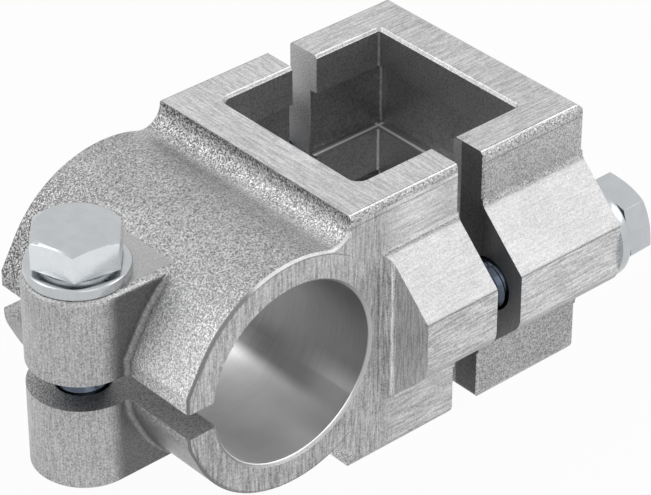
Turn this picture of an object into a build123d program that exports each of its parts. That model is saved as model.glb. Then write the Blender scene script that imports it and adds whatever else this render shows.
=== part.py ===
from build123d import *
import math
import os

os.makedirs("parts", exist_ok=True)

# Cross clamp block: a split clamp for a round tube beside a two-part clamp for a square tube.
# X runs from the round clamp to the loose jaw, Y along the round tube, Z up along the square tube.
# The origin lies on the square tube's axis, level with the round tube's axis.

# Square clamp
socket_width = 31.2
socket_depth = 32.6
socket_corner = 1.6
jaw_socket_corner = 0.5
socket_edge = 0.5
clamp_height = 45.7
bore_below_top = 22.5
clamp_length = 44.5
body_wall = 7.0
jaw_wall = 8.0
slit_gap = 5.0
slit_shift = 0.6
cast_round = 2.2
machined_off = 0.5
edge_break = 0.35
end_round = 1.3

# Reliefs between the three gripping lands of the square socket
end_land = 6.8
middle_land = 7.8
body_side_relief = 0.8
jaw_side_relief = 1.5
jaw_relief = 1.8

# Round clamp
bore_dia = 30.0
bore_edge = 0.5
ring_wall = 4.85
web_at_socket = 3.3
neck_blend = 3.5
upper_lip_height = 4.9
lower_lip_height = 4.1
lower_lip_round = 7.0
lip_reach = 0.2
ring_slit = 4.4
ring_edge = 0.35

# Ears of the round clamp
boss_dia = 17.0
ear_top = 17.0
ear_bottom = 16.6
bolt_to_bore_gap = 2.9
ear_top_round = 1.2
ear_bottom_edge = 0.5
ear_root_round = 1.0

# Lugs for the jaw screws
lug_reach = 8.9
lug_root_height = 26.6
lug_face_height = 9.2
body_lug_length = 14.2
lug_top_round = 0.8
lug_bottom_round = 3.6
lug_root_round = 2.0
lug_bolt_offset = 1.8

# Hexagon head screws and washers
bolt_dia = 8.0
head_across_flats = 13.0
head_height = 4.95
head_crown_dia = 12.4
head_crown_angle = 28.0
head_bearing_dia = 11.6
head_bearing_height = 0.8
bolt_length = 35.0
tip_chamfer = 1.0
washer_dia = 16.0
washer_thickness = 1.8
washer_hole_dia = 8.4
washer_edge = 0.3
ear_head_turn = 48.5
jaw_head_turn = 43.5

# Clearances and holes
hole_clearance = 0.5
thread_clearance = 0.05
thread_depth_spare = 3.0
drill_point_angle = 118.0
hole_mouth = 0.5

# Places worked out from the sizes
z_top = bore_below_top
z_bottom = bore_below_top - clamp_height
half_length = clamp_length / 2
socket_x = socket_depth / 2
socket_y = socket_width / 2
body_end = -socket_x - body_wall
jaw_end = socket_x + jaw_wall
body_slit = slit_shift - slit_gap / 2
jaw_slit = slit_shift + slit_gap / 2
bore_r = bore_dia / 2
ring_r = bore_r + ring_wall
bore_x = -socket_x - web_at_socket - bore_r
bolt_r = bolt_dia / 2
ear_bolt_x = bore_x - bore_r - bolt_to_bore_gap - bolt_r
boss_r = boss_dia / 2
lug_y = half_length + lug_reach
lug_bolt_y = half_length + lug_bolt_offset
body_lug_end = body_slit - body_lug_length
hole_r = bolt_r + hole_clearance
thread_r = bolt_r + thread_clearance
head_corner_r = head_across_flats / math.sqrt(3)


def box_between(low, high):
    """Box from one corner to the opposite one."""
    size = [b - a for a, b in zip(low, high)]
    middle = [(a + b) / 2 for a, b in zip(low, high)]
    return Pos(*middle) * Box(*size)


def edges_at(solid, axis, **place):
    """Edges along one axis whose middle lies at the given distances from the origin's planes."""
    found = solid.edges().filter_by(axis)
    for name, value in place.items():
        found = [e for e in found if abs(abs(getattr(e.center(), name)) - abs(value)) < 1e-3]
    return found


def round_hole(length, radius, flared_ends):
    """Cutter for a hole along Z, centred, with a flared mouth at its upper (0) or lower (180) end."""
    hole = Cylinder(radius, length)
    flare = Cone(radius, radius + hole_mouth, hole_mouth)
    for turn in flared_ends:
        hole += Rot(turn, 0, 0) * Pos(0, 0, (length - hole_mouth) / 2) * flare
    return hole


def block(x_low, x_high, cut_sides, round_ends):
    """Plain block of the square clamp: upright edges broken at some X, end edges round at some X and Z."""
    solid = box_between((x_low, -half_length, z_bottom), (x_high, half_length, z_top))
    ends = [e for x, z in round_ends for e in edges_at(solid, Axis.Y, X=x, Z=z)]
    solid = fillet(ends, end_round)
    breaks = [e for x in cut_sides for e in edges_at(solid, Axis.Z, X=x)]
    return chamfer(breaks, edge_break)


def cast_edges():
    """Cutter for the casting's long round edges, which were cut flat at both ends of the clamp."""
    centre_y = half_length - cast_round
    depth = cast_round - machined_off
    cutter = Part()
    for z, way in ((z_top, 1), (z_bottom, -1)):
        corner = Pos(half_length, z) * Rectangle(2 * cast_round, 2 * depth)
        corner -= Pos(centre_y, z - way * depth) * Circle(cast_round)
        run = extrude(Plane.YZ * corner, 4 * clamp_length, both=True)
        cutter += run + mirror(run, Plane.XZ)
    return cutter


def neck_radius():
    """Blend between the ring and the block, short of the block's corners and of room for the rim's bevel."""
    dx = body_end - bore_x
    reach = min(z_top, -z_bottom)
    limit = (dx**2 + reach**2 - ring_r**2) / (2 * (dx + ring_r))
    return min(neck_blend, 0.9 * limit, limit - ring_edge)


def lip_outline():
    """Side view of the lips: a ground face, and slopes that run on into the ring."""
    face_x = -ring_r - lip_reach
    points = []
    for way, face_z in ((1, upper_lip_height), (-1, lower_lip_height)):
        corner_r = math.hypot(face_x, face_z)
        touch = math.atan2(face_z, -face_x) + math.acos(ring_r / corner_r)
        side = [(face_x, way * face_z), (-ring_r * math.cos(touch), way * ring_r * math.sin(touch))]
        points += side[::way]
    outline = make_face(Polyline(*points[::-1], close=True))
    lower = outline.vertices().sort_by_distance((face_x, -lower_lip_height, 0))[0]
    return fillet(lower, lower_lip_round)


def side_casting():
    """Block, ring and lips, all as long as the clamp, with the blends between them."""
    casting = block(body_end, body_slit, [body_slit], [(body_slit, z_bottom)])
    casting += Pos(bore_x, 0, 0) * Rot(90, 0, 0) * Cylinder(ring_r, clamp_length)
    casting += Pos(bore_x, 0, 0) * extrude(Plane.XZ * lip_outline(), half_length, both=True)
    neck_z = math.sqrt(ring_r**2 - (body_end - bore_x)**2)
    casting = fillet(edges_at(casting, Axis.Y, X=body_end, Z=neck_z), neck_radius())
    rims = [
        e for e in casting.edges()
        if abs(abs(e.center().Y) - half_length) < 1e-3 and e.bounding_box().max.X < body_end + 1e-3
        and e.bounding_box().size.Y < 1e-3
    ]
    return chamfer(rims, ring_edge) - cast_edges()


def lug_outline(side):
    """End view of a lug on the wall at side times half_length, its root a little inside the wall."""
    root_z = lug_root_height / 2
    strip_z = root_z + lug_root_round / 2
    face_z = lug_face_height / 2
    inside = half_length - lug_root_round
    corners = [
        (inside, strip_z), (half_length, strip_z), (half_length, root_z), (lug_y, face_z),
        (lug_y, -face_z), (half_length, -root_z), (half_length, -strip_z), (inside, -strip_z),
    ]
    outline = make_face(Polyline(*[(side * y, z) for y, z in corners], close=True))
    rounds = [
        (half_length, root_z, lug_root_round), (half_length, -root_z, lug_root_round),
        (lug_y, face_z, lug_top_round), (lug_y, -face_z, lug_bottom_round),
    ]
    for y, z, radius in rounds:
        corner = outline.vertices().sort_by_distance((side * y, z, 0))[0]
        outline = fillet(corner, radius)
    return outline


def lug(side, x_low, x_high):
    """One lug between two X values."""
    return Pos(x_low, 0, 0) * extrude(Plane.YZ * lug_outline(side), x_high - x_low)


def lug_end_root(side):
    """Hollow blend between the body lug's end and the wall, trimmed to the lug's outline."""
    low = body_lug_end - lug_root_round
    middle = side * (half_length + lug_root_round)
    wedge = Pos(body_lug_end, side * half_length, 0) * Box(*[2 * lug_root_round] * 2, clamp_height)
    wedge -= Pos(low, middle, 0) * Cylinder(lug_root_round, clamp_height)
    return lug(side, low, body_lug_end) & wedge


def socket(corner, side_relief):
    """Room for the square tube, with reliefs between its three gripping lands."""
    room = Box(socket_depth, socket_width, 2 * clamp_height)
    room = fillet(room.edges().filter_by(Axis.Z), corner)
    mouth = extrude(RectangleRounded(socket_depth, socket_width, corner), 2 * socket_edge, taper=-45)
    y_end = socket_y + side_relief
    for turn, z_end in ((0, z_top), (180, -z_bottom)):
        low = (-socket_x, -y_end, middle_land / 2)
        high = (socket_x + jaw_relief, y_end, z_end - end_land)
        pocket = box_between(low, high)
        pocket = fillet(pocket.edges().filter_by(Axis.Z), corner)
        room += Rot(turn, 0, 0) * (pocket + Pos(0, 0, z_end - socket_edge) * mouth)
    return room


def ears():
    """Boss and arm of both ears in one, before the slit parts them."""
    middle = (ear_top - ear_bottom) / 2
    height = ear_top + ear_bottom
    shape = Pos(ear_bolt_x, 0, middle) * Cylinder(boss_r, height)
    shape += box_between((ear_bolt_x, -boss_r, -ear_bottom), (bore_x, boss_r, ear_top))
    for z, finish, size in ((ear_top, fillet, ear_top_round), (-ear_bottom, chamfer, ear_bottom_edge)):
        rims = [e for e in shape.edges() if abs(e.center().Z - z) < 1e-3 and e.center().X < bore_x - 1e-3]
        shape = finish(rims, size)
    return shape


def tapped_hole():
    """Blind hole for a jaw screw in the body's lug, with the drill's point, on the X axis."""
    bottom_x = jaw_end + washer_thickness - bolt_length - thread_depth_spare
    length = body_slit - bottom_x
    hole = Pos(bottom_x + length / 2, 0, 0) * Rot(0, 90, 0) * Cylinder(thread_r, length)
    point = thread_r / math.tan(math.radians(drill_point_angle / 2))
    hole += Pos(bottom_x - point / 2, 0, 0) * Rot(0, -90, 0) * Cone(thread_r, 0, point)
    flare = Cone(thread_r, thread_r + hole_mouth, hole_mouth)
    return hole + Pos(body_slit - hole_mouth / 2, 0, 0) * Rot(0, 90, 0) * flare


def round_bore():
    """Cutter for the round tube, with a bevelled rim at each end."""
    bore = Cylinder(bore_r, 2 * clamp_length)
    flare = Cone(bore_r, bore_r + bore_edge, bore_edge)
    for turn in (0, 180):
        bore += Rot(turn, 0, 0) * Pos(0, 0, half_length - bore_edge / 2) * flare
    return Pos(bore_x, 0, 0) * Rot(90, 0, 0) * bore


def make_body():
    """The main casting."""
    casting = side_casting()
    ear_pair = ears()
    body = casting + ear_pair
    body = fillet(new_edges(casting, ear_pair, combined=body), ear_root_round)
    for side in (-1, 1):
        body += lug(side, body_lug_end, body_slit) + lug_end_root(side)
    body -= round_bore()
    slit_low = (ear_bolt_x - 2 * boss_r, -clamp_length, -ring_slit / 2)
    slit_high = (bore_x, clamp_length, ring_slit / 2)
    body -= box_between(slit_low, slit_high)
    body -= socket(socket_corner, body_side_relief)
    for side in (-1, 1):
        body -= Pos(0, side * lug_bolt_y, 0) * tapped_hole()
    upper = ear_top - ring_slit / 2
    lower = ear_bottom - ring_slit / 2
    body -= Pos(ear_bolt_x, 0, ear_top - upper / 2) * round_hole(upper, hole_r, [0])
    body -= Pos(ear_bolt_x, 0, lower / 2 - ear_bottom) * round_hole(lower, thread_r, [0, 180])
    return body


def make_jaw():
    """The loose jaw."""
    round_ends = [(jaw_slit, z_bottom), (jaw_end, z_bottom), (jaw_end, z_top)]
    jaw = block(jaw_slit, jaw_end, [jaw_slit, jaw_end], round_ends) - cast_edges()
    for side in (-1, 1):
        jaw += lug(side, jaw_slit, jaw_end)
    jaw -= socket(jaw_socket_corner, jaw_side_relief)
    length = jaw_end - jaw_slit
    hole = Pos(jaw_slit + length / 2, 0, 0) * Rot(0, 90, 0) * round_hole(length, hole_r, [0])
    for side in (-1, 1):
        jaw -= Pos(0, side * lug_bolt_y, 0) * hole
    return jaw


def hex_head():
    """Hexagon head on Z = 0, its corners cut back by a cone at the top."""
    prism = extrude(RegularPolygon(head_corner_r, 6), head_height)
    cone_height = (head_corner_r - head_crown_dia / 2) * math.tan(math.radians(head_crown_angle))
    barrel_height = head_height - cone_height
    envelope = Pos(0, 0, barrel_height / 2) * Cylinder(head_corner_r, barrel_height)
    crown = Cone(head_corner_r, head_crown_dia / 2, cone_height)
    envelope += Pos(0, 0, barrel_height + cone_height / 2) * crown
    return prism & envelope


def hex_bolt():
    """Screw with its bearing face on Z = 0 and its shank down along -Z."""
    bolt = Pos(0, 0, head_bearing_height) * hex_head()
    bolt += Pos(0, 0, head_bearing_height / 2) * Cylinder(head_bearing_dia / 2, head_bearing_height)
    shank = Pos(0, 0, -bolt_length / 2) * Cylinder(bolt_r, bolt_length)
    tip = shank.edges().filter_by(GeomType.CIRCLE).sort_by(Axis.Z)[0]
    return bolt + chamfer(tip, tip_chamfer)


def washer():
    """Flat washer that stands on Z = 0."""
    ring = Pos(0, 0, washer_thickness / 2) * Cylinder(washer_dia / 2, washer_thickness)
    rim = ring.edges().filter_by(GeomType.CIRCLE).sort_by(Axis.Z)[-1]
    ring = chamfer(rim, washer_edge)
    return ring - Cylinder(washer_hole_dia / 2, 3 * washer_thickness)


def at_ear():
    """Place of the round clamp's screw: upright on the upper ear."""
    return Pos(ear_bolt_x, 0, ear_top)


def at_jaw(side):
    """Place of a jaw screw: along X on the jaw's end."""
    return Pos(jaw_end, side * lug_bolt_y, 0) * Rot(0, 90, 0)


def make_parts():
    """Every piece by its name."""
    lift = Pos(0, 0, washer_thickness)
    parts = {
        "clamp_body": make_body(),
        "square_jaw": make_jaw(),
        "round_clamp_washer": at_ear() * washer(),
        "round_clamp_bolt": at_ear() * lift * Rot(0, 0, ear_head_turn) * hex_bolt(),
    }
    for name, side in (("front", -1), ("rear", 1)):
        parts[f"jaw_washer_{name}"] = at_jaw(side) * washer()
        parts[f"jaw_bolt_{name}"] = at_jaw(side) * lift * Rot(0, 0, jaw_head_turn) * hex_bolt()
    return parts


if __name__ == "__main__":
    for name, solid in make_parts().items():
        solid.label = name
        export_step(solid, f"parts/{name}.step")
        print(name, round(solid.volume), "mm3")
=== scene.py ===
# %% [markdown]
# # A cross clamp block
#
# A split clamp for a round tube is cast in one piece with half of a clamp for a square tube.
# A loose jaw closes the square clamp with two hexagon head screws, and a third screw pulls the
# split ring shut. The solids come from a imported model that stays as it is. This lesson gives
# them the finish of the real thing: a blasted aluminium casting with ground faces, and bright
# zinc plated screws and washers, which are modelled anew with threads and rolled edges.

# %% Load the solids
import math
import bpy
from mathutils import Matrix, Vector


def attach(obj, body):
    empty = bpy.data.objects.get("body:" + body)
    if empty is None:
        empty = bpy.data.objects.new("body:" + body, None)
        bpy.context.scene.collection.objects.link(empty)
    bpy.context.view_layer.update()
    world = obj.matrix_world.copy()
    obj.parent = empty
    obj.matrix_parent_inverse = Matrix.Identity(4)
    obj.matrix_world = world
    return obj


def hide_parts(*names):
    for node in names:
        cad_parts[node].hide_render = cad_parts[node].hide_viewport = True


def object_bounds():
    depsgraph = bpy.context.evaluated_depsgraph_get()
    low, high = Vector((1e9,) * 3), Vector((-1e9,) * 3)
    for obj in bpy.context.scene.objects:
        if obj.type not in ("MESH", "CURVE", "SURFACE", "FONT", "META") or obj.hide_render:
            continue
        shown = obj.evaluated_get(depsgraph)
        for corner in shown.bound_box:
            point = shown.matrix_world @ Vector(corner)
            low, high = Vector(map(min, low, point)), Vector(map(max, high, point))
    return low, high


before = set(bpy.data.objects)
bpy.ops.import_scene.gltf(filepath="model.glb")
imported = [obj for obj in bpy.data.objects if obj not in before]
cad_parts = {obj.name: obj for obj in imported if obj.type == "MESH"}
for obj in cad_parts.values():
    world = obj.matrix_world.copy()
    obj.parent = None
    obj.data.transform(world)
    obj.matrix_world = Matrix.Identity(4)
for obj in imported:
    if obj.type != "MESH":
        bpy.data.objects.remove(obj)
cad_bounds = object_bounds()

from types import SimpleNamespace

import bmesh
import bpy
from mathutils import Matrix, Vector

scene = bpy.context.scene
print("solids", sorted(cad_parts))

# %% [markdown]
# ## Camera
#
# The photograph is a product shot through a long lens, from the left and from above. A long lens
# keeps parallel edges nearly parallel. The camera stands on a line that is given by two angles,
# and it is shifted a little to the left and down in its own plane, so that the block sits in the
# picture as it does in the photograph. Distances are in metres.

# %% Camera
IMAGE_WIDTH_PX = 651
FOCAL_LENGTH_PX = 3357.8
SENSOR_WIDTH_MM = 36.0
CAMERA_AZIMUTH = math.radians(-41.443)
CAMERA_ELEVATION = math.radians(33.865)
CAMERA_DISTANCE = 0.525255
CAMERA_SIDE_SHIFT = -0.006612
CAMERA_UP_SHIFT = -0.003487

back = Vector((
    math.sin(CAMERA_AZIMUTH) * math.cos(CAMERA_ELEVATION),
    -math.cos(CAMERA_AZIMUTH) * math.cos(CAMERA_ELEVATION),
    math.sin(CAMERA_ELEVATION),
))
right = Vector((math.cos(CAMERA_AZIMUTH), math.sin(CAMERA_AZIMUTH), 0.0))
up = back.cross(right)
camera_place = CAMERA_DISTANCE * back + CAMERA_SIDE_SHIFT * right + CAMERA_UP_SHIFT * up
camera_turn = Matrix((right, up, back)).transposed().to_4x4()

camera = bpy.data.objects.new("camera", bpy.data.cameras.new("camera"))
scene.collection.objects.link(camera)
camera.data.sensor_width = SENSOR_WIDTH_MM
camera.data.lens = FOCAL_LENGTH_PX / IMAGE_WIDTH_PX * SENSOR_WIDTH_MM
camera.matrix_world = Matrix.Translation(camera_place) @ camera_turn
scene.camera = camera
print("lens mm", round(camera.data.lens, 1))

# %% [markdown]
# ## Nodes in short calls
#
# Every finish here is a node tree that works out its pattern from the place on the piece, in
# millimetres. Wiring such a tree by hand takes many lines, so one small class gives each kind
# of node a short call. A value that is passed in may be a number or another node's output.

# %% Node board
class Board:
    """Node tree of one material, with a short call for each kind of node."""

    def __init__(self, name):
        self.material = bpy.data.materials.new(name)
        self.material.use_nodes = True
        self.nodes = self.material.node_tree.nodes
        self.link = self.material.node_tree.links.new
        self.nodes.clear()

    def node(self, kind, **settings):
        made = self.nodes.new("ShaderNode" + kind)
        for key, value in settings.items():
            setattr(made, key, value)
        return made

    def feed(self, socket, value):
        if isinstance(value, bpy.types.NodeSocket):
            self.link(value, socket)
        else:
            socket.default_value = value

    def math(self, operation, *values):
        made = self.node("Math", operation=operation)
        for socket, value in zip(made.inputs, values):
            self.feed(socket, value)
        return made.outputs[0]

    def chain(self, operation, first, *others):
        """One operation over all the values, from the first on."""
        result = first
        for value in others:
            result = self.math(operation, result, value)
        return result

    def add(self, *values):
        return self.chain("ADD", *values)

    def times(self, *values):
        return self.chain("MULTIPLY", *values)

    def highest(self, *values):
        """The greatest of the values."""
        return self.chain("MAXIMUM", *values)

    def minus(self, value, taken):
        return self.math("SUBTRACT", value, taken)

    def away(self, value):
        """One minus the value."""
        return self.minus(1.0, value)

    def unsigned(self, value):
        return self.math("ABSOLUTE", value)

    def ramp(self, value, low, high, start=0.0, stop=1.0):
        """Smooth step from start to stop as the value goes from low to high."""
        made = self.node("MapRange", interpolation_type="SMOOTHSTEP")
        for socket, given in zip(made.inputs, (value, low, high, start, stop)):
            self.feed(socket, given)
        return made.outputs[0]

    def below(self, value, low, high):
        """1 up to low, fading to 0 at high."""
        return self.ramp(value, low, high, 1.0, 0.0)

    def band(self, value, middle, half_width):
        """1 at the middle, fading to 0 at half the width on either side."""
        return self.below(self.unsigned(self.minus(value, middle)), 0.0, half_width)

    def blend(self, factor, low, high):
        """Low where the factor is 0, high where it is 1."""
        made = self.node("Mix", data_type="FLOAT")
        sockets = made.inputs[0], made.inputs[2], made.inputs[3]
        for socket, value in zip(sockets, (factor, low, high)):
            self.feed(socket, value)
        return made.outputs[0]

    def layers(self, ground, *covers):
        """Ground value with covers laid over it, each one a mask and a value."""
        value = ground
        for mask, cover in covers:
            value = self.blend(mask, value, cover)
        return value

    def vary(self, level, pattern, depth):
        """Level that a pattern from 0 to 1 makes lighter and darker by depth."""
        return self.add(level, self.times(self.minus(pattern, 0.5), depth))

    def tint(self, value, colour):
        """Grey value times a colour."""
        made = self.node("VectorMath", operation="SCALE")
        made.inputs[0].default_value = colour
        self.feed(made.inputs["Scale"], value)
        return made.outputs[0]

    def place(self):
        """Place on the piece in millimetres, as one vector and as x, y and z."""
        source = self.node("TexCoord")
        grown = self.node("VectorMath", operation="SCALE")
        self.link(source.outputs["Object"], grown.inputs[0])
        grown.inputs["Scale"].default_value = 1000.0
        split = self.node("SeparateXYZ")
        self.link(grown.outputs[0], split.inputs[0])
        return grown.outputs[0], split.outputs

    def facing(self):
        """How much the surface faces along x, y and z, without sign."""
        source = self.node("TexCoord")
        split = self.node("SeparateXYZ")
        self.link(source.outputs["Normal"], split.inputs[0])
        return [self.unsigned(out) for out in split.outputs]

    def noise(self, place, per_mm, detail=2.0, roughness=0.5):
        """Noise from 0 to 1, with its grains per millimetre given for x, y and z."""
        stretched = self.node("VectorMath", operation="MULTIPLY")
        self.link(place, stretched.inputs[0])
        stretched.inputs[1].default_value = per_mm
        made = self.node("TexNoise")
        self.link(stretched.outputs[0], made.inputs["Vector"])
        made.inputs["Scale"].default_value = 1.0
        made.inputs["Detail"].default_value = detail
        made.inputs["Roughness"].default_value = roughness
        return made.outputs["Fac"]

    def metal(self, colour, roughness, height_mm):
        """Metal shader with its relief in millimetres; gives the finished material."""
        relief = self.node("Bump")
        relief.inputs["Strength"].default_value = 1.0
        relief.inputs["Distance"].default_value = 0.001
        self.feed(relief.inputs["Height"], height_mm)
        shader = self.node("BsdfPrincipled")
        shader.inputs["Metallic"].default_value = 1.0
        self.feed(shader.inputs["Base Color"], colour)
        self.feed(shader.inputs["Roughness"], roughness)
        self.link(relief.outputs[0], shader.inputs["Normal"])
        out = self.node("OutputMaterial")
        self.link(shader.outputs[0], out.inputs["Surface"])
        return self.material


# %% [markdown]
# ## Studio
#
# Bare metal has hardly any colour of its own: it shows the room. The photograph was taken in a
# white room, so the block stands on a pale floor that is white where it is looked at. It still
# takes a soft shadow, because a small share of it is plain matt colour.

# %% Floor
FLOOR_SIZE = 3.0
FLOOR_COLOUR = 0.85
FLOOR_GLOW_SHARE = 0.96


def white_for_looks(nodes, link):
    """1 for rays that look at a thing directly, in a mirror or through glass, else 0."""
    rays = nodes.new("ShaderNodeLightPath")
    either = nodes.new("ShaderNodeMath")
    any_look = nodes.new("ShaderNodeMath")
    either.operation = any_look.operation = "MAXIMUM"
    link(rays.outputs["Is Camera Ray"], either.inputs[0])
    link(rays.outputs["Is Glossy Ray"], either.inputs[1])
    link(either.outputs[0], any_look.inputs[0])
    link(rays.outputs["Is Transmission Ray"], any_look.inputs[1])
    return any_look.outputs[0]


def paint_floor():
    """Pale floor that glows where it is looked at, and still takes a soft shadow."""
    board = Board("pale_floor")
    looked_at = white_for_looks(board.nodes, board.link)
    glow = board.node("Emission")
    diffuse = board.node("BsdfDiffuse")
    diffuse.inputs["Color"].default_value = (FLOOR_COLOUR, FLOOR_COLOUR, FLOOR_COLOUR, 1)
    mix = board.node("MixShader")
    board.link(board.times(looked_at, FLOOR_GLOW_SHARE), mix.inputs[0])
    board.link(diffuse.outputs[0], mix.inputs[1])
    board.link(glow.outputs[0], mix.inputs[2])
    out = board.node("OutputMaterial")
    board.link(mix.outputs[0], out.inputs["Surface"])
    return board.material


floor_mesh = bpy.data.meshes.new("floor")
floor_shape = bmesh.new()
bmesh.ops.create_grid(floor_shape, x_segments=1, y_segments=1, size=FLOOR_SIZE / 2)
bmesh.ops.translate(floor_shape, verts=floor_shape.verts, vec=(0, 0, cad_bounds[0][2]))
floor_shape.to_mesh(floor_mesh)
floor_shape.free()
floor_mesh.materials.append(paint_floor())
floor = bpy.data.objects.new("floor", floor_mesh)
scene.collection.objects.link(floor)
print("floor at mm", round(1000 * cad_bounds[0][2], 2))

# %% [markdown]
# The room gives most of the light, evenly from all sides. Three soft lamps add the differences
# between the faces: one from the front right brightens the sloped lugs, one from the front lifts
# what faces the viewer, and one behind on the left glints in the grain of the round parts. They
# are mild, so that the ground ends keep their lines when the block is seen from behind as well.

# %% Room and lamps
ROOM_BRIGHTNESS = 0.4
LAMPS = (  # name, direction, then distance and size in metres, and power in watts
    ("key_lamp", (0.55, -0.54, 0.62), 0.9, 0.45, 1.35),
    ("front_lamp", (-0.3, -0.9, 0.5), 1.0, 0.6, 0.8),
    ("left_back_lamp", (-0.5, 0.45, 0.74), 0.9, 0.5, 1.5),
)


def light_room():
    """White room where it is looked at, and a dimmer one as light."""
    world = bpy.data.worlds.new("room")
    scene.world = world
    world.use_nodes = True
    nodes, link = world.node_tree.nodes, world.node_tree.links.new
    nodes.clear()
    out = nodes.new("ShaderNodeOutputWorld")
    blend = nodes.new("ShaderNodeMixShader")
    lit = nodes.new("ShaderNodeBackground")
    seen = nodes.new("ShaderNodeBackground")
    lit.inputs["Strength"].default_value = ROOM_BRIGHTNESS
    seen.inputs["Strength"].default_value = 1.0
    for background in (lit, seen):
        background.inputs["Color"].default_value = (1, 1, 1, 1)
    link(white_for_looks(nodes, link), blend.inputs[0])
    link(lit.outputs[0], blend.inputs[1])
    link(seen.outputs[0], blend.inputs[2])
    link(blend.outputs[0], out.inputs["Surface"])


def add_lamp(name, direction, distance, size, power):
    """Square soft lamp that faces the block from one direction."""
    data = bpy.data.lights.new(name, "AREA")
    data.shape = "SQUARE"
    data.size = size
    data.energy = power
    lamp = bpy.data.objects.new(name, data)
    scene.collection.objects.link(lamp)
    toward = Vector(direction).normalized()
    lamp.location = toward * distance
    lamp.rotation_euler = toward.to_track_quat("Z", "Y").to_euler()


light_room()
for lamp in LAMPS:
    add_lamp(*lamp)
scene.view_settings.view_transform = "Standard"

# %% [markdown]
# ## Cast aluminium
#
# One casting carries many finishes. Its skin was blasted with shot, so it is grainy. The ends
# and the big flat faces were then ground, which leaves fine lines that all run one way, and the
# bore is turned smooth. Separate pieces would show seams, so a single material finds each region
# from the place and the facing, and lays its colour, gloss and relief over those of the skin.
# First come the places that the regions are told by, in millimetres.

# %% Places on a casting
body_heights = [1000 * corner[2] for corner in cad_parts["clamp_body"].bound_box]
BOTTOM_Z, TOP_Z = min(body_heights), max(body_heights)
HALF_LENGTH = 22.25  # the walls at the front and the rear
TOP_CUT_Y = 21.36  # side of the ground end, where the round of the long edge was cut
TOP_ROUND = 1.85  # how far that round reaches down the wall
BORE_X = -34.6
BORE_RADIUS = 15.0
RIM_RADIUS = 19.4  # where the rim of the ring starts to round off
NECK_X = -23.5  # where the ring ends and the block begins
EAR_X = -50.6
EAR_ROOT_X = -44.0  # where the ears run out into the ring
EAR_TOP_Z = 17.0
BOSS_RADIUS = 8.5
SLIT_HALF = 2.2
SOCKET_X = 16.3
SOCKET_Y = 15.6
LUG_CORNER_Z = 4.55
LUG_ROOT_X = -16.25
LUG_TIP_Y = 29.5
SPLIT_FROM_X, SPLIT_TO_X = -2.4, 3.6  # the facing sides of body and jaw lie between these
print("casting from z", round(BOTTOM_Z, 2), "to", round(TOP_Z, 2))

# %% [markdown]
# Each region is a mask, 1 inside and 0 outside. It fades over a few tenths of a millimetre, so
# that no region ends in a jagged edge. Some measures serve many masks and are taken once, such
# as the distance from the middle plane, the distance from the bore's axis and the facing.

# %% Measures of a casting
def measure_casting(board):
    """Place, facing and the masks that many regions share, by name."""
    vector, (x, y, z) = board.place()
    face_x, face_y, face_z = board.facing()
    side = board.unsigned(y)
    beyond_wall = board.ramp(side, HALF_LENGTH + 0.1, HALF_LENGTH + 0.4)
    square_x = board.math("POWER", board.minus(x, BORE_X), 2.0)
    square_z = board.math("POWER", z, 2.0)
    return SimpleNamespace(
        vector=vector, x=x, y=y, z=z, side=side, face_x=face_x, face_y=face_y, face_z=face_z,
        from_bore=board.math("SQRT", board.add(square_x, square_z)),
        beyond_wall=beyond_wall,
        on_wall=board.times(
            board.ramp(side, HALF_LENGTH - 0.15, HALF_LENGTH - 0.03), board.away(beyond_wall)),
        on_ring=board.below(x, NECK_X - 0.5, NECK_X),
        flat_y=board.ramp(face_y, 0.93, 0.985),
        flat_z=board.ramp(face_z, 0.7, 0.9),
        ends=board.highest(board.ramp(z, TOP_Z - 0.25, TOP_Z - 0.05),
                           board.below(z, BOTTOM_Z + 0.05, BOTTOM_Z + 0.25)),
    )


# %% [markdown]
# The ends and the front were ground flat. The lugs stand out beyond the front and the rear, with a
# flat face, a square end and a slope, and a rounded root leads into the wall. The faces where body and
# jaw look at each other lie deep in the shade, so they get a mask of their own, on which that shade is
# painted.

# %% Walls and lugs
def find_walls(board, spot):
    """Masks of the ends, the front, the lugs and the faces between body and jaw, by name."""
    return {
        "ends": spot.ends,
        "front": board.times(spot.flat_y, spot.on_wall),
        "lug_face": board.times(spot.flat_y, spot.beyond_wall),
        "lug_end": board.times(board.ramp(spot.face_x, 0.35, 0.85), spot.beyond_wall),
        "lug_root": board.times(
            board.ramp(spot.side, HALF_LENGTH + 0.02, HALF_LENGTH + 0.15), board.away(spot.flat_y),
            board.ramp(spot.face_x, 0.2, 0.4), board.below(spot.x, LUG_ROOT_X - 0.2, LUG_ROOT_X)),
        "slope": board.times(spot.beyond_wall, board.away(spot.flat_y),
                             board.away(board.ramp(spot.face_x, 0.2, 0.6))),
        "cut": board.times(
            board.ramp(spot.face_x, 0.8, 0.95),
            board.ramp(spot.x, SPLIT_FROM_X - 0.2, SPLIT_FROM_X + 0.2),
            board.below(spot.x, SPLIT_TO_X - 0.2, SPLIT_TO_X + 0.2)),
    }


# %% [markdown]
# The ring is a barrel that runs over into the block through a hollow. It has a rounded rim and a
# turned bore with a broken edge. The ears stand on its lips: each is a round boss with two flat
# sides, and a small fillet joins it to the ring.

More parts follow.
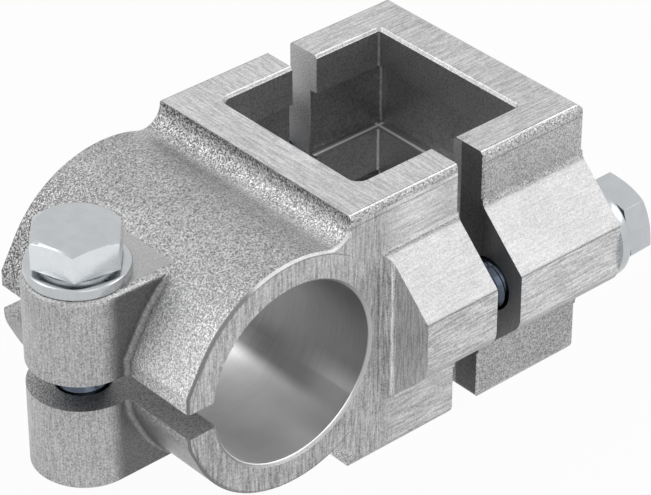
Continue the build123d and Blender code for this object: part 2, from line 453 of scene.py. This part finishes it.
# %% Ring and ears
def find_ring(board, spot):
    """Masks of the ring, its bore, its slit and its ears, by name."""
    off_flat = board.away(spot.flat_y)
    from_ear_top = board.unsigned(board.minus(spot.z, EAR_TOP_Z))
    ears = board.times(board.below(spot.x, EAR_X - 1.0, EAR_X + 1.0),
                       board.below(spot.side, BOSS_RADIUS + 0.1, BOSS_RADIUS + 0.6))
    return {
        "rim": board.times(
            off_flat, board.ramp(spot.side, HALF_LENGTH - 0.5, HALF_LENGTH - 0.3),
            board.ramp(spot.from_bore, RIM_RADIUS - 0.2, RIM_RADIUS), spot.on_ring),
        "bore": board.times(board.below(spot.from_bore, BORE_RADIUS + 0.15, BORE_RADIUS + 0.35),
                            board.away(board.times(spot.flat_y, spot.on_wall))),
        "bore_edge": board.times(
            board.ramp(spot.side, HALF_LENGTH - 0.45, HALF_LENGTH - 0.35), off_flat,
            board.below(spot.from_bore, BORE_RADIUS + 0.8, BORE_RADIUS + 1.0)),
        "boss": board.times(ears, board.away(spot.flat_z)),
        "ear_top": board.times(
            board.ramp(spot.face_z, 0.97, 0.995), board.below(from_ear_top, 0.1, 0.3),
            board.below(spot.x, EAR_ROOT_X, EAR_ROOT_X + 1.0)),
        "shaded_ear_side": board.times(
            board.ramp(spot.face_y, 0.8, 0.97), board.ramp(spot.x, EAR_X - 8.0, EAR_X - 5.0),
            board.below(spot.x, EAR_ROOT_X - 1.0, EAR_ROOT_X),
            board.below(spot.side, BOSS_RADIUS + 0.1, BOSS_RADIUS + 0.5)),
        "shaded_ear_root": board.times(
            board.away(spot.flat_z), board.ramp(spot.x, EAR_X - 7.0, EAR_X - 6.0),
            board.below(spot.x, EAR_ROOT_X + 1.0, EAR_ROOT_X + 3.0),
            board.ramp(spot.side, BOSS_RADIUS + 0.02, BOSS_RADIUS + 0.1),
            board.below(spot.side, BOSS_RADIUS + 0.7, BOSS_RADIUS + 1.2)),
        "ring_slit": board.times(spot.flat_z, board.band(spot.z, 0.0, 2 * SLIT_HALF + 1.0),
                                 board.below(spot.x, BORE_X - 13.0, BORE_X - 12.0)),
        "hollow": board.times(board.ramp(spot.x, -31.0, -28.0),
                              board.below(spot.x, NECK_X + 0.3, NECK_X + 0.7)),
        "barrel": board.times(
            board.below(spot.x, EAR_ROOT_X, EAR_ROOT_X + 4.0),
            board.ramp(spot.side, BOSS_RADIUS, BOSS_RADIUS + 2.0), board.ramp(spot.z, -4.0, 2.0)),
        "shaded_low_lip": board.times(board.below(spot.z, -5.0, -1.0), board.below(spot.x, -52.0, -48.0)),
    }


# %% [markdown]
# Inside the socket, raised lands grip the tube, and the walls between them lie a little deeper.
# Where a land ends there is a ledge, and a thin painted highlight runs along it.

# %% Socket
def find_socket(board, spot):
    """Masks of the socket, its gripping lands, its ledges and the painted highlight along them, by
    name.
    """
    inside = board.times(
        board.below(board.unsigned(spot.x), SOCKET_X + 1.9, SOCKET_X + 2.2),
        board.below(spot.side, SOCKET_Y + 1.7, SOCKET_Y + 1.9))
    socket = board.times(inside, board.away(spot.ends))
    return {
        "socket": socket,
        "x_wall": board.ramp(spot.face_x, 0.7, 0.9),
        "lands": board.times(socket, board.below(spot.side, SOCKET_Y + 0.05, SOCKET_Y + 0.15)),
        "ledges": board.times(socket, spot.flat_z),
        "ledge_highlight": board.highest(board.band(spot.side, SOCKET_Y + 0.7, 0.5),
                                    board.band(spot.x, SOCKET_X + 0.7, 0.5)),
    }


# %% [markdown]
# Where two faces of the real casting meet, the rounded edge between them falls into shade as a thin
# darker line. The edges of the solids are crisp and show none, so that shade is painted as lines:
# along the corner and the facet of the lugs, both sides of the long rounds, the rim of the ring and
# the root of the lugs.

# %% Edge lines
FACET_LEAN = -0.14  # how much the facet's line on a lug climbs along x


def find_edge_shade_lines(board, spot):
    """Mask of the thin lines of painted shade along the edges of a casting."""
    on_block = board.ramp(spot.x, NECK_X, NECK_X + 0.2)
    lug_tip = board.ramp(spot.side, LUG_TIP_Y, LUG_TIP_Y + 1.0)
    on_body_lug = board.ramp(spot.x, -2.0, -1.5, 0.7, 0.0)
    facet_z = board.add(spot.z, board.times(spot.x, FACET_LEAN))
    near_middle = board.below(board.unsigned(spot.z), 10.0, 13.0)
    return board.highest(
        board.times(lug_tip, board.band(spot.z, LUG_CORNER_Z, 0.16)),
        board.times(lug_tip, on_body_lug, board.band(facet_z, LUG_CORNER_Z + 0.27, 0.14)),
        board.times(spot.ends, board.band(spot.side, TOP_CUT_Y, 0.14), on_block),
        board.times(spot.on_wall, board.band(spot.z, TOP_Z - TOP_ROUND, 0.2), on_block),
        board.times(
            spot.on_wall, spot.flat_y, board.band(spot.from_bore, RIM_RADIUS, 0.2), spot.on_ring),
        board.times(spot.on_wall, board.band(spot.x, LUG_ROOT_X - 1.7, 0.25), near_middle),
    )


# %% [markdown]
# Shot leaves pits about a quarter of a millimetre wide, and metal that was torn when it was ground
# shows dark and bright specks along the lines. Both patterns are noise: even in all directions for the
# blasted skin, and drawn out along one axis for the ground faces. A steep ramp turns soft noise into
# specks. They are grain, and where they are laid strongly, on the hollow and the barrel, they are also
# painted glints of light. The bore shows the rings that the cutting tool left, so its noise is drawn
# out in every direction but y.

# %% Patterns of a casting
FINE_PER_MM = 4.0
COARSE_PER_MM = 1.9
ACROSS_LINES_PER_MM = 3.8
ALONG_LINES_PER_MM = 0.3
TURNED_PER_MM = (0.2, 4.0, 0.2)
CLOUDS_PER_MM = 0.12
GRAIN_ROUGHNESS = 0.6
TORN_SHARE = 0.4


def make_patterns(board, vector):
    """Grain and lines from 0 to 1, by name."""
    fine = board.noise(vector, (FINE_PER_MM,) * 3, 2.0, GRAIN_ROUGHNESS)
    coarse = board.noise(vector, (COARSE_PER_MM,) * 3, 2.0, GRAIN_ROUGHNESS)
    torn = board.ramp(board.noise(vector, (ACROSS_LINES_PER_MM,) * 3, 1.0), 0.3, 0.7)
    lines = {}
    for axis in "xyz":
        per_mm = [ALONG_LINES_PER_MM if axis == each else ACROSS_LINES_PER_MM for each in "xyz"]
        drawn = board.ramp(board.noise(vector, per_mm, 2.0, GRAIN_ROUGHNESS), 0.3, 0.7)
        lines[axis] = board.blend(TORN_SHARE, drawn, torn)
    return {
        "grain": board.ramp(board.add(board.times(fine, 0.7), board.times(coarse, 0.3)), 0.34, 0.66),
        "grain_glint": board.ramp(
            board.add(board.times(fine, 0.75), board.times(coarse, 0.25)), 0.38, 0.66),
        "cloud": board.noise(vector, (CLOUDS_PER_MM,) * 3, 2.0),
        "turned": board.noise(vector, TURNED_PER_MM, 2.0),
        **lines,
    }


# %% [markdown]
# Each casting gets its own sheet of grey levels, because the body was ground on its front while the
# jaw kept its blasted skin there. Most levels are the share of light that a face gives back, and the
# others hold painted light and shade.

# %% Grey levels of the castings
CAST_TINT = (1.0, 0.997, 1.003)
# Painted light and shade among the levels: the barrel's glint and rear shade, the hollow's lit foot,
# the lit top of the front, the reflection in the bore, the rim's shade and highlight, the shaded ear
# sides, ear roots and low lip, the socket's shade, the ledge highlight, the shade and light of the cut
# faces, the edge shade, and the light on the body's lug end.
BODY_LEVELS = {
    "skin": 0.39, "ends": 0.56, "edge_shade": 0.6,
    "hollow": 0.455, "hollow_foot_lit": 0.53,
    "barrel_high": 0.42, "barrel_low_glint": 0.73, "barrel_rear_shade": 0.38,
    "front_low": 0.42, "front_foot": 0.52, "front_high_lit": 0.49, "front_block_lit": 0.68,
    "lug_face": 0.56, "lug_end": 0.76, "lug_root": 0.33, "slope": 0.43,
    "bore_low_reflection": 0.98, "bore_dark_reflection": 0.38, "bore_side_reflection": 0.33, "bore_edge": 0.48,
    "rim_shade": 0.2, "rim_highlight": 0.62, "ring_slit": 0.46, "shaded_low_lip": 0.34,
    "boss": 0.42, "shaded_ear_side": 0.155, "shaded_ear_root": 0.22, "ear_top": 0.43,
    "socket": 0.33, "lands": 0.42, "ledges": 0.32, "ledge_highlight": 1.0,
    "cut_front_shade": 0.11, "cut_lug": 0.30, "cut_rear_low_lit": 0.7, "cut_rear_high": 0.36,
}
JAW_LEVELS = {
    **BODY_LEVELS, "skin": 0.43, "ends": 0.52, "front_foot": 0.38, "front_high_lit": 0.46,
    "front_block_lit": 0.46, "lug_face": 0.60, "lug_end": 0.45, "slope": 0.435, "socket": 0.32,
}
print("grey levels", len(BODY_LEVELS))

# %% [markdown]
# Some regions get light and shade painted into their level. The front is painted lighter towards the
# block's top, the barrel gets a painted glint low down at the front, and the hollow gets painted shade
# under the top. The bore gets a painted reflection of its surroundings: it is pale at the bottom, then
# comes a dark band, and its side is grey. The socket gets painted shade, and the faces between body
# and jaw get painted shade in front and painted light behind. So each of these gets a level that
# changes with the place, or with the angle around the bore.

# %% Uneven greys
# Angles where the bore's painted reflection turns to its dark band and to its grey side.
BORE_DARK_FROM = (-58.0, -48.0)  # degrees around the bore, counted up from +x
BORE_SIDE_FROM = (-42.0, -24.0)


def painted_front_light(board, spot, levels, beside_bore):
    """Level of the ground front, with painted light: low beside the bore, lighter up the block."""
    level = board.blend(beside_bore, levels["front_low"], levels["front_foot"])
    level = board.blend(board.ramp(spot.z, -12.0, 14.0), level, levels["front_high_lit"])
    block_top = board.times(beside_bore, board.ramp(spot.z, 9.0, 12.0))
    return board.blend(block_top, level, levels["front_block_lit"])


def painted_barrel_glint(board, spot, levels, up_barrel):
    """Level of the barrel: a painted glint low down at the front, painted shade at the rear."""
    level = board.blend(up_barrel, levels["barrel_low_glint"], levels["barrel_high"])
    return board.blend(board.ramp(spot.y, -6.0, 6.0), level, levels["barrel_rear_shade"])


def painted_hollow_shade(board, spot, levels, up_hollow):
    """Level of the hollow: painted light at its foot, painted shade under the block's top and towards
    the rear.
    """
    level = board.blend(up_hollow, levels["hollow_foot_lit"], levels["hollow"])
    under_top = board.ramp(spot.z, TOP_Z - 1.7, TOP_Z - 0.7, 1.0, 0.72)
    return board.times(level, under_top, board.ramp(spot.y, -18.0, 18.0, 1.12, 0.92))


def painted_bore_reflection(board, spot, levels):
    """Painted reflection in the bore, by the angle around it: pale below, a dark band, then its side.
    """
    around = board.math("DEGREES", board.math("ARCTAN2", spot.z, board.minus(spot.x, BORE_X)))
    low = board.times(levels["bore_low_reflection"], board.ramp(spot.side, 2.0, 12.0, 0.85, 1.0))
    dark = board.times(levels["bore_dark_reflection"], board.ramp(spot.side, 2.0, 12.0, 0.55, 1.0),
                       board.ramp(spot.side, 10.0, 20.0, 1.0, 2.2))
    return board.layers(low, (board.ramp(around, *BORE_DARK_FROM), dark),
                        (board.ramp(around, *BORE_SIDE_FROM), levels["bore_side_reflection"]))


def painted_socket_shade(board, spot, levels, x_wall):
    """Painted shade on the socket's walls: darker low down, lighter on the walls along y."""
    return board.times(levels["socket"], board.ramp(spot.z, -2.0, 8.0, 0.55, 1.0),
                       board.blend(x_wall, 1.0, 1.6))


def painted_cut_shade(board, spot, levels):
    """Painted shade and light on the faces between body and jaw: dark in front, lighter on the lugs
    and behind.
    """
    front = board.blend(board.ramp(spot.side, 22.0, 26.0), levels["cut_front_shade"], levels["cut_lug"])
    rear = board.ramp(spot.z, 3.0, 11.0, levels["cut_rear_low_lit"], levels["cut_rear_high"])
    level = board.blend(board.ramp(spot.y, 0.0, 10.0), front, rear)
    return board.times(level, board.ramp(spot.z, -16.0, -10.0, 1.1, 1.0),
                       board.ramp(spot.z, 11.0, 16.0, 1.0, 1.4))


# %% [markdown]
# A casting is painted in layers, like a wall with one coat over the other: the skin first, then
# each region over it. The last number of a coat is its contrast, which is high for the blasted
# skin and low for faces in the shade. The relief is tiny, between two and fifty thousandths of a
# millimetre, and it is what breaks the reflections up.

# %% Finish of the castings
def lay_greys(board, spot, at, pattern, levels, beside_bore):
    """Grey of a casting, from the skin up to the last region."""
    grain, grain_glint = pattern["grain"], pattern["grain_glint"]
    up_hollow = board.ramp(spot.x, -26.5, -24.8)
    up_barrel = board.ramp(spot.z, 10.5, 18.0)
    # These levels carry painted light and shade: on the hollow, the barrel, the front, the ring's rim
    # and the socket.
    hollow = painted_hollow_shade(board, spot, levels, up_hollow)
    barrel = painted_barrel_glint(board, spot, levels, up_barrel)
    front = painted_front_light(board, spot, levels, beside_bore)
    # The rim's level is painted shade on the left and a painted highlight on the right.
    rim = board.ramp(spot.x, BORE_X - 9.0, BORE_X - 6.0, levels["rim_shade"], levels["rim_highlight"])
    socket = painted_socket_shade(board, spot, levels, at["x_wall"])
    grey = board.layers(
        board.vary(levels["skin"], grain, 0.48),
        # On the hollow and the barrel the grain's specks are laid strongly, as painted glints.
        (at["hollow"], board.vary(hollow, grain_glint, board.blend(up_hollow, 0.40, 0.62))),
        (at["barrel"], board.vary(barrel, grain_glint, board.blend(up_barrel, 0.66, 0.44))),
        (at["slope"], board.vary(levels["slope"], pattern["slope"], 0.22)),
        # The low lip, the ear's sides and the ear's roots get painted shade.
        (at["shaded_low_lip"], board.vary(levels["shaded_low_lip"], grain, 0.20)),
        (at["boss"], board.vary(levels["boss"], pattern["boss"], 0.46)),
        (at["shaded_ear_side"], board.vary(levels["shaded_ear_side"], grain, 0.10)),
        (at["shaded_ear_root"], board.vary(levels["shaded_ear_root"], grain, 0.12)),
        (at["ear_top"], board.vary(levels["ear_top"], grain, 0.14)),
        (at["rim"], rim),
        (at["front"], board.vary(front, pattern["front"], 0.44)),
        (at["lug_face"], board.vary(levels["lug_face"], pattern["x"], 0.50)),
        # The bright level of the body's lug end is painted light.
        (at["lug_end"], board.vary(levels["lug_end"], pattern["z"], 0.66)),
        (at["lug_root"], board.vary(levels["lug_root"], pattern["z"], 0.40)),
        (at["ends"], board.vary(levels["ends"], pattern["ends"], 0.38)),
        (at["bore"], board.vary(painted_bore_reflection(board, spot, levels), pattern["turned"], 0.10)),
        (at["bore_edge"], levels["bore_edge"]),
        (at["ring_slit"], board.vary(levels["ring_slit"], grain, 0.34)),
        (at["cut"], board.vary(painted_cut_shade(board, spot, levels), grain, 0.06)),
        (at["socket"], board.vary(socket, grain, 0.18)),
        (at["lands"], board.vary(levels["lands"], grain, 0.22)),
        # A painted highlight along the ledges.
        (at["ledges"], board.blend(at["ledge_highlight"], levels["ledges"], levels["ledge_highlight"])),
    )
    grey = board.times(grey, board.ramp(pattern["cloud"], 0.3, 0.7, 0.95, 1.05))
    # Thin lines of painted shade along the edges.
    edge_shade = find_edge_shade_lines(board, spot)
    return board.times(grey, board.blend(edge_shade, 1.0, levels["edge_shade"]))


def lay_relief(board, at, pattern):
    """Height of a casting's surface in millimetres."""
    grain = pattern["grain"]
    return board.layers(
        board.times(grain, 0.05),
        (at["slope"], board.times(grain, 0.014)),
        (at["boss"], board.times(pattern["boss"], 0.03)),
        (at["ear_top"], board.times(grain, 0.012)),
        (at["front"], board.times(pattern["front"], 0.012)),
        (at["lug_face"], board.times(pattern["x"], 0.012)),
        (at["lug_end"], board.times(pattern["z"], 0.03)),
        (at["ends"], board.times(pattern["ends"], 0.01)),
        (at["bore"], board.times(pattern["turned"], 0.002)),
        (at["socket"], board.times(grain, 0.02)),
    )


def paint_casting(name, levels, end_lines, front_lines):
    """Aluminium casting, with the lines of its ends and front along the named axes or blasted."""
    board = Board(name)
    spot = measure_casting(board)
    at = {**find_walls(board, spot), **find_ring(board, spot), **find_socket(board, spot)}
    beside_bore = board.ramp(spot.x, -18.5, -13.0)
    pattern = make_patterns(board, spot.vector)
    pattern["front"] = board.blend(beside_bore, pattern["z"], pattern[front_lines])
    pattern["ends"] = pattern[end_lines]
    pattern["slope"] = board.blend(0.5, pattern["grain"], pattern["x"])
    pattern["boss"] = board.blend(0.5, pattern["grain"], pattern["z"])
    rough = board.layers(
        0.40, (at["slope"], 0.42), (at["front"], 0.42), (at["lug_face"], 0.42), (at["ends"], 0.38),
        (at["bore"], 0.5), (at["hollow"], 0.34), (at["ledges"], 0.7), (at["cut"], 0.55))
    grey = lay_greys(board, spot, at, pattern, levels, beside_bore)
    return board.metal(board.tint(grey, CAST_TINT), rough, lay_relief(board, at, pattern))


for name, levels, end_lines, front_lines in (
        ("clamp_body", BODY_LEVELS, "y", "x"), ("square_jaw", JAW_LEVELS, "x", "grain")):
    finish = paint_casting("blasted_" + name, levels, end_lines, front_lines)
    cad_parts[name].material_slots[0].material = finish
    print(name, "node count", len(finish.node_tree.nodes))

# %% [markdown]
# ## Zinc plate
#
# The screws and washers are steel with a thin bright coat of zinc, a little blue. The coat is smooth
# but not polished, and cloudy where it dried. The level top of a head and its upright flats mirror
# other parts of the room, so each gets its own level; on the ear's screw the brighter flats are a
# painted reflection. The thread is painted dark and deep blue, as painted shade for the shade of its
# slit.

# %% Finish of the screws and washers
ZINC_TINT = (0.965, 1.0, 1.025)
THREAD_SHADE_TINT = (0.78, 0.95, 1.25)


def paint_zinc(name, top_level, side_level, tint=ZINC_TINT):
    """Bluish zinc plate with faint clouds, at one level on upright faces and another on level ones,
    which paints a reflection where they differ.
    """
    board = Board(name)
    vector, _ = board.place()
    level = board.blend(board.ramp(board.facing()[2], 0.3, 0.6), side_level, top_level)
    cloud = board.ramp(board.noise(vector, (0.5, 0.5, 0.5), 3.0), 0.3, 0.7)
    fine = board.noise(vector, (FINE_PER_MM,) * 3, 2.0)
    grey = board.vary(board.vary(level, cloud, 0.03), fine, 0.05)
    rough = board.blend(cloud, 0.28, 0.2)
    return board.metal(board.tint(grey, tint), rough, board.times(fine, 0.003))


zinc = paint_zinc("zinc_plate", 0.52, 0.54)
# The ear screw's flats are lighter than its top: painted reflection.
ear_zinc_lit_flats = paint_zinc("ear_screw_zinc_lit_flats", 0.52, 0.76)
# The thread is dark and deep blue: painted shade.
thread_zinc_shaded = paint_zinc("thread_zinc_shaded", 0.10, 0.10, THREAD_SHADE_TINT)
print("zinc", zinc.name, ear_zinc_lit_flats.name, thread_zinc_shaded.name)

# %% [markdown]
# ## Washers
#
# A piece that stands in for a solid has to sit exactly where that solid is. So its place and its
# size are measured on the solid, and it rides on the same body. The piece is made on z = 0 and
# then carried to its seat, turned to x for the jaw's screws.

# %% Place and hand over a piece
SHARP_ANGLE = math.radians(32)
MERGE_DISTANCE = 1e-6


def bounds_along(name, axis):
    """Lowest and highest place of a solid along one axis."""
    values = [vertex.co[axis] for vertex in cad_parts[name].data.vertices]
    return min(values), max(values)


def end_of(name, axis, end):
    """Middle of the low end (0) or the high end (1) of a solid along one axis."""
    middle = Vector([sum(bounds_along(name, each)) / 2 for each in range(3)])
    middle[axis] = bounds_along(name, axis)[end]
    return middle


def turn_to(axis):
    """Turn that lays z along x for axis 0, and none for axis 2."""
    return Matrix.Rotation(math.pi / 2, 4, "Y") if axis == 0 else Matrix.Identity(4)


def finish_piece(shape, name, body, node, materials):
    """Make a bmesh an object that takes the place of a solid and rides on its body."""
    bmesh.ops.remove_doubles(shape, verts=shape.verts, dist=MERGE_DISTANCE)
    bmesh.ops.recalc_face_normals(shape, faces=shape.faces)
    mesh = bpy.data.meshes.new(name)
    shape.to_mesh(mesh)
    shape.free()
    for material in materials:
        mesh.materials.append(material)
    for polygon in mesh.polygons:
        polygon.use_smooth = True
    mesh.set_sharp_from_angle(angle=SHARP_ANGLE)
    piece = bpy.data.objects.new(name, mesh)
    scene.collection.objects.link(piece)
    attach(piece, body)
    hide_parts(node)
    return piece


# %% [markdown]
# A washer is stamped from sheet, so its rim is rolled round on one side and sharper on the other.
# Four points make its section, a full spin turns them into a ring, and a bevel rounds the rims.

# %% Washer
WASHER_STEPS = 96
WASHER_TOP_ROUND = 0.0004
WASHER_EDGE = 0.00015
WASHER_HOLE_RADIUS = 0.0042
WASHER_RIM_ANGLE = 1.0


def sharp_edges(shape, angle):
    """Edges whose faces meet at more than an angle."""
    return [edge for edge in shape.edges if edge.calc_face_angle(0.0) > angle]


def bevel(shape, edges, size, segments):
    """Round some edges."""
    bmesh.ops.bevel(shape, geom=edges, offset=size, offset_type="OFFSET", segments=segments,
                    profile=0.5, affect="EDGES", clamp_overlap=True, material=-1)


def add_washer(name, body, axis, hole_radius):
    """Washer with a rolled rim in place of a plain one."""
    low, high = bounds_along(name, axis)
    thickness = high - low
    across = bounds_along(name, 1)
    outer = (across[1] - across[0]) / 2
    shape = bmesh.new()
    section = ((hole_radius, 0), (outer, 0), (outer, thickness), (hole_radius, thickness))
    corners = [shape.verts.new((r, 0, z)) for r, z in section]
    sides = [shape.edges.new(pair) for pair in zip(corners, corners[1:] + corners[:1])]
    bmesh.ops.spin(shape, geom=corners + sides, cent=(0, 0, 0), axis=(0, 0, 1), dvec=(0, 0, 0),
                   angle=2 * math.pi, steps=WASHER_STEPS, use_merge=True)
    bmesh.ops.recalc_face_normals(shape, faces=shape.faces)
    rolled = [edge for edge in sharp_edges(shape, WASHER_RIM_ANGLE)
              if min(v.co.z for v in edge.verts) > thickness / 2
              and edge.verts[0].co.xy.length > (outer + hole_radius) / 2]
    bevel(shape, rolled, WASHER_TOP_ROUND, 4)
    bevel(shape, sharp_edges(shape, WASHER_RIM_ANGLE), WASHER_EDGE, 2)
    seat = Matrix.Translation(end_of(name, axis, 0)) @ turn_to(axis)
    bmesh.ops.transform(shape, matrix=seat, verts=shape.verts)
    return finish_piece(shape, "rolled_" + name, body, name, [zinc])


for name, body, axis in (
        ("round_clamp_washer", "round_clamp_washer", 2),
        ("jaw_washer_front", "jaw", 0),
        ("jaw_washer_rear", "jaw", 0)):
    washer = add_washer(name, body, axis, WASHER_HOLE_RADIUS)
    print(washer.name, "faces", len(washer.data.polygons))

# %% [markdown]
# ## Screws
#
# A real thread is cut or rolled into the rod as one groove that winds along it. Here one groove
# and one ridge of an M8 thread are swept by a spin that climbs 1.25 mm in each turn. The rod is
# then cut flat at both ends, and its tip is drawn in to a cone.

# %% Thread
PITCH = 0.00125
THREAD_STEPS = 32
CREST_RADIUS = 0.00396
ROOT_RADIUS = 0.00325
TIP_BEVEL = 0.001
THREAD_SECTION = (  # radius, and the share of one turn's climb
    (ROOT_RADIUS, 0.0), (ROOT_RADIUS, 0.15), (CREST_RADIUS, 0.51), (CREST_RADIUS, 0.64),
    (ROOT_RADIUS, 1.0))


def cut_flat(shape, place, outward):
    """Cut off what lies beyond a plane, and close the cut."""
    everything = shape.verts[:] + shape.edges[:] + shape.faces[:]
    bmesh.ops.bisect_plane(shape, geom=everything, plane_co=place, plane_no=outward, clear_outer=True)
    bmesh.ops.holes_fill(shape, edges=[e for e in shape.edges if e.is_boundary], sides=0)


def thread_shape(length):
    """Threaded rod from z = 0 down to z = -length."""
    shape = bmesh.new()
    points = [shape.verts.new((r, 0, climb * PITCH)) for r, climb in THREAD_SECTION]
    sides = [shape.edges.new(pair) for pair in zip(points, points[1:])]
    turns = math.ceil(length / PITCH) + 1
    bmesh.ops.spin(shape, geom=points + sides, cent=(0, 0, 0), axis=(0, 0, 1),
                   dvec=(0, 0, PITCH / THREAD_STEPS), angle=2 * math.pi * turns,
                   steps=THREAD_STEPS * turns, use_merge=False)
    bmesh.ops.remove_doubles(shape, verts=shape.verts, dist=MERGE_DISTANCE)
    bmesh.ops.translate(shape, verts=shape.verts, vec=(0, 0, -PITCH - length))
    cut_flat(shape, (0, 0, 0), (0, 0, 1))
    cut_flat(shape, (0, 0, -length), (0, 0, -1))
    for vertex in shape.verts:
        limit = CREST_RADIUS - TIP_BEVEL + (vertex.co.z + length)
        if vertex.co.xy.length > limit:
            vertex.co.xy *= limit / vertex.co.xy.length
    return shape


# %% [markdown]
# The head is forged, so its edges are a little soft. A copy of the solid has that head already:
# it is merged, its shank is cut off to a stub and its edges are bevelled. The threaded rod starts
# half way along the stub, so head and rod overlap and no gap can show between them.

# %% Screw
SHANK_STUB = 0.0008
HEAD_EDGE = 0.0001
HEAD_EDGE_ANGLE = math.radians(15)
FLAT_ANGLE = math.radians(1)


def head_shape(name, axis, seat):
    """Head and a stub of the shank, from a merged copy of a solid."""
    shape = bmesh.new()
    shape.from_mesh(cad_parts[name].data)
    bmesh.ops.remove_doubles(shape, verts=shape.verts, dist=MERGE_DISTANCE)
    toward_head = Vector([float(axis == each) for each in range(3)])
    cut_flat(shape, seat - SHANK_STUB * toward_head, -toward_head)
    bmesh.ops.dissolve_limit(shape, angle_limit=FLAT_ANGLE, verts=shape.verts, edges=shape.edges)
    bmesh.ops.recalc_face_normals(shape, faces=shape.faces)
    bevel(shape, sharp_edges(shape, HEAD_EDGE_ANGLE), HEAD_EDGE, 2)
    return shape


def add_screw(name, axis, washer, coat):
    """Screw with a soft-edged head and a real thread in place of a plain one."""
    low, _ = bounds_along(name, axis)
    seat = end_of(washer, axis, 1)
    shape = head_shape(name, axis, seat)
    overlap = SHANK_STUB / 2
    thread = thread_shape(seat[axis] - low - overlap)
    place = Matrix.Translation(seat) @ turn_to(axis) @ Matrix.Translation((0, 0, -overlap))
    bmesh.ops.transform(thread, matrix=place, verts=thread.verts)
    for face in thread.faces:
        face.material_index = 1
    rod = bpy.data.meshes.new("rod")
    thread.to_mesh(rod)
    thread.free()
    shape.from_mesh(rod)
    bpy.data.meshes.remove(rod)
    return finish_piece(shape, "threaded_" + name, name, name, [coat, thread_zinc_shaded])


for name, axis, washer, coat in (
        ("round_clamp_bolt", 2, "round_clamp_washer", ear_zinc_lit_flats),
        ("jaw_bolt_front", 0, "jaw_washer_front", zinc),
        ("jaw_bolt_rear", 0, "jaw_washer_rear", zinc)):
    screw = add_screw(name, axis, washer, coat)
    print(screw.name, "faces", len(screw.data.polygons))
